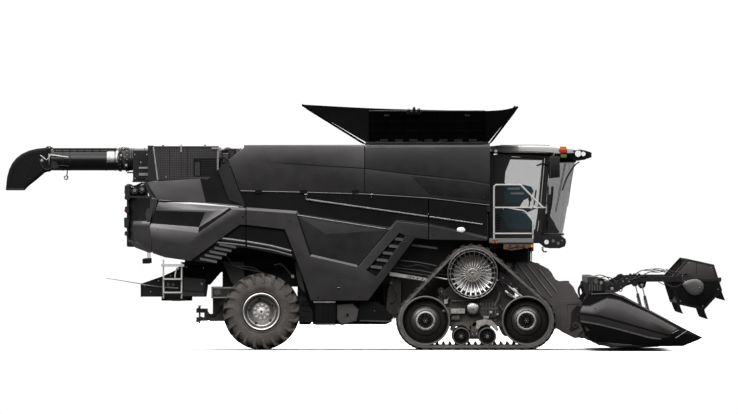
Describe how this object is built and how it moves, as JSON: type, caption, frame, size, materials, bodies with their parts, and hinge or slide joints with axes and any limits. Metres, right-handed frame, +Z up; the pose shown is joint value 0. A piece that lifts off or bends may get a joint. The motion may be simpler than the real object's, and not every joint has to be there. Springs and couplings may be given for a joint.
{
  "type": "tracked combine harvester with cutting header",
  "caption": "Grain combine on front rubber tracks and steered rear wheels, with folding tank covers, side unloading tube, cab, feeder house and reel header.",
  "frame": {"origin": "on the ground under the middle of the machine's bounding box", "axes": "+X is the driving direction, +Y the machine's left, +Z up"},
  "size_m": [14.0511, 9.2, 4.8126],
  "materials": {
    "body_paint": "gloss black paint",
    "frame_paint": "satin black paint",
    "silver_paint": "satin silver paint",
    "wheel_chrome": "bright spoked wheel",
    "bright_steel": "bright rods and tubes",
    "cast_metal": "cast and machined parts",
    "track_rubber": "moulded rubber",
    "tyre_rubber": "tyre rubber",
    "dark_plastic": "moulded plastic",
    "cab_shell": "gloss roof shell",
    "clear_glass": "clear glass",
    "seat_cloth": "woven seat cloth",
    "aluminium": "plain aluminium"
  },
  "bodies": {
    "chassis": {"thresher_housing": "frame_paint", "chassis_frame": "frame_paint", "rear_axle": "frame_paint", "tow_hitch": "cast_metal", "straw_chopper": "frame_paint", "rear_ladder": "silver_paint", "side_boxes": "dark_plastic", "track_belts": "track_rubber", "drive_wheels": "wheel_chrome", "track_wheels": "cast_metal", "track_frames": "frame_paint", "tank_panels": "body_paint", "grain_tank": "frame_paint", "cover_gussets": "track_rubber", "engine_block": "cast_metal", "engine_hood": "body_paint", "radiator_housing": "dark_plastic", "rear_cover": "body_paint", "front_panels": "body_paint", "auger_supports": "frame_paint", "cab_frame": "frame_paint", "cab_roof": "cab_shell", "cab_glass": "clear_glass", "operator_seat": "seat_cloth", "steering_console": "dark_plastic", "platforms": "aluminium", "handrails": "silver_paint", "mirrors": "dark_plastic"},
    "steering_right": {"knuckle_right": "cast_metal"},
    "steering_left": {"knuckle_left": "cast_metal"},
    "rear_wheel_right": {"rim_right": "silver_paint", "tyre_right": "tyre_rubber"},
    "rear_wheel_left": {"rim_left": "silver_paint", "tyre_left": "tyre_rubber"},
    "feeder": {"feeder_house": "body_paint", "header_frame": "frame_paint", "header_ends": "body_paint", "cutterbar": "bright_steel"},
    "auger": {"header_auger": "frame_paint"},
    "reel_support": {"reel_arms": "body_paint"},
    "reel_slider": {"reel_carriage": "dark_plastic"},
    "reel": {"reel_core": "frame_paint", "reel_tine_bars": "frame_paint"},
    "lift_cylinders": {"lift_barrels": "frame_paint"},
    "lift_cylinder_rods": {"lift_rods": "bright_steel"},
    "reel_cylinders": {"reel_barrels": "frame_paint"},
    "reel_cylinder_rods": {"reel_rods": "bright_steel"},
    "unloader": {"unload_tube": "body_paint", "unload_spout": "track_rubber"},
    "side_door_right": {"service_door_right": "body_paint"},
    "side_door_left": {"service_door_left": "body_paint"},
    "rear_door_right": {"rear_panel_right": "body_paint"},
    "rear_door_left": {"rear_panel_left": "body_paint"},
    "lid_rear": {"cover_rear": "body_paint"},
    "lid_front": {"cover_front": "body_paint"},
    "lid_right": {"cover_right": "body_paint"},
    "lid_left": {"cover_left": "body_paint"},
    "cab_entry_door": {"cab_door": "frame_paint", "cab_door_glass": "clear_glass"},
    "entry_ladder": {"access_ladder": "silver_paint"}
  },
  "joints": [
    {"name": "steer_right", "type": "hinge", "parent": "chassis", "child": "steering_right", "pos_m": [-1.9619, -0.95, 0.75], "axis": [0, 0, 1], "range_deg": [-30, 30]},
    {"name": "steer_left", "type": "hinge", "parent": "chassis", "child": "steering_left", "pos_m": [-1.9619, 0.95, 0.75], "axis": [0, 0, 1], "range_deg": [-30, 30]},
    {"name": "rear_wheel_right_spin", "type": "hinge", "parent": "steering_right", "child": "rear_wheel_right", "pos_m": [-1.9619, -1.32, 0.75], "axis": [0, 1, 0], "continuous": true},
    {"name": "rear_wheel_left_spin", "type": "hinge", "parent": "steering_left", "child": "rear_wheel_left", "pos_m": [-1.9619, 1.32, 0.75], "axis": [0, 1, 0], "continuous": true},
    {"name": "feeder_lift", "type": "hinge", "parent": "chassis", "child": "feeder", "pos_m": [2.893, 0, 1.666], "axis": [0, -1, 0], "range_deg": [-0.5, 20]},
    {"name": "lift_cylinder_tilt", "type": "hinge", "parent": "chassis", "child": "lift_cylinders", "pos_m": [2.5402, 0, 0.7252], "axis": [0, -1, 0], "range_deg": [-1.04, 18.16]},
    {"name": "lift_rod_slide", "type": "slide", "parent": "lift_cylinders", "child": "lift_cylinder_rods", "axis": [0.9487, 0, -0.3162], "range_m": [-0.02026, 0.35711]},
    {"name": "header_auger_spin", "type": "hinge", "parent": "feeder", "child": "auger", "pos_m": [4.7569, 0, 0.6537], "axis": [0, 1, 0], "continuous": true},
    {"name": "reel_lift", "type": "hinge", "parent": "feeder", "child": "reel_support", "pos_m": [4.8731, 0, 1.2152], "axis": [0, -1, 0], "range_deg": [-12, 15]},
    {"name": "reel_fore_aft", "type": "slide", "parent": "reel_support", "child": "reel_slider", "axis": [1, 0, 0], "range_m": [-0.6, 0]},
    {"name": "reel_spin", "type": "hinge", "parent": "reel_slider", "child": "reel", "pos_m": [6.5052, 0, 1.2965], "axis": [0, 1, 0], "continuous": true},
    {"name": "reel_cylinder_tilt", "type": "hinge", "parent": "feeder", "child": "reel_cylinders", "pos_m": [5.5894, 0, 0.7505], "axis": [0, -1, 0], "range_deg": [-1.77, 1.45]},
    {"name": "reel_rod_slide", "type": "slide", "parent": "reel_cylinders", "child": "reel_cylinder_rods", "axis": [-0.2458, 0, 0.9693], "range_m": [-0.13032, 0.16061]},
    {"name": "unload_swing", "type": "hinge", "parent": "chassis", "child": "unloader", "pos_m": [2.2124, 1.42, 3.7432], "axis": [0, 0, -1], "range_deg": [0, 105]},
    {"name": "service_door_right_lift", "type": "hinge", "parent": "chassis", "child": "side_door_right", "pos_m": [-0.4782, -1.63, 3.1282], "axis": [-1, 0, 0], "range_deg": [0, 75]},
    {"name": "service_door_left_lift", "type": "hinge", "parent": "chassis", "child": "side_door_left", "pos_m": [-0.4782, 1.63, 3.1282], "axis": [1, 0, 0], "range_deg": [0, 75]},
    {"name": "rear_panel_right_swing", "type": "hinge", "parent": "chassis", "child": "rear_door_right", "pos_m": [-2.2657, -1.655, 2.45], "axis": [0, 0, 1], "range_deg": [0, 75]},
    {"name": "rear_panel_left_swing", "type": "hinge", "parent": "chassis", "child": "rear_door_left", "pos_m": [-2.2657, 1.655, 2.45], "axis": [0, 0, -1], "range_deg": [0, 75]},
    {"name": "tank_end_covers", "type": "hinge", "parent": "chassis", "child": "lid_rear", "pos_m": [0.0784, 0, 4.0454], "axis": [0, 1, 0], "range_deg": [0, 148], "deforming": ["cover_gussets"]},
    {"name": "tank_cover_front", "type": "hinge", "parent": "chassis", "child": "lid_front", "pos_m": [2.5088, 0, 4.0454], "axis": [0, -1, 0], "range_deg": [0, 128]},
    {"name": "tank_side_covers", "type": "hinge", "parent": "chassis", "child": "lid_right", "pos_m": [1.2662, -1.59, 4.0974], "axis": [-1, 0, 0], "range_deg": [0, 129.8]},
    {"name": "tank_cover_left", "type": "hinge", "parent": "chassis", "child": "lid_left", "pos_m": [1.2662, 1.09, 4.0974], "axis": [1, 0, 0], "range_deg": [0, 130]},
    {"name": "cab_door_swing", "type": "hinge", "parent": "chassis", "child": "cab_entry_door", "pos_m": [2.7166, 1, 3.038], "axis": [0, 0, 1], "range_deg": [0, 80]},
    {"name": "entry_ladder_swing", "type": "hinge", "parent": "chassis", "child": "entry_ladder", "pos_m": [2.8342, 1.7, 2.1168], "axis": [0, 0, 1], "range_deg": [0, 90]}
  ],
  "couplings": [
    {"joint": "steer_left", "follows": "steer_right", "ratio": 1},
    {"joint": "lift_cylinder_tilt", "follows": "feeder_lift", "ratio": 0.87832},
    {"joint": "lift_rod_slide", "follows": "feeder_lift", "m_per_rad": 0.98975},
    {"joint": "reel_cylinder_tilt", "follows": "reel_lift", "ratio": -0.10831},
    {"joint": "reel_rod_slide", "follows": "reel_lift", "m_per_rad": 0.57842},
    {"joint": "tank_cover_front", "follows": "tank_end_covers", "ratio": 0.85946},
    {"joint": "tank_cover_left", "follows": "tank_side_covers", "ratio": 1}
  ]
}
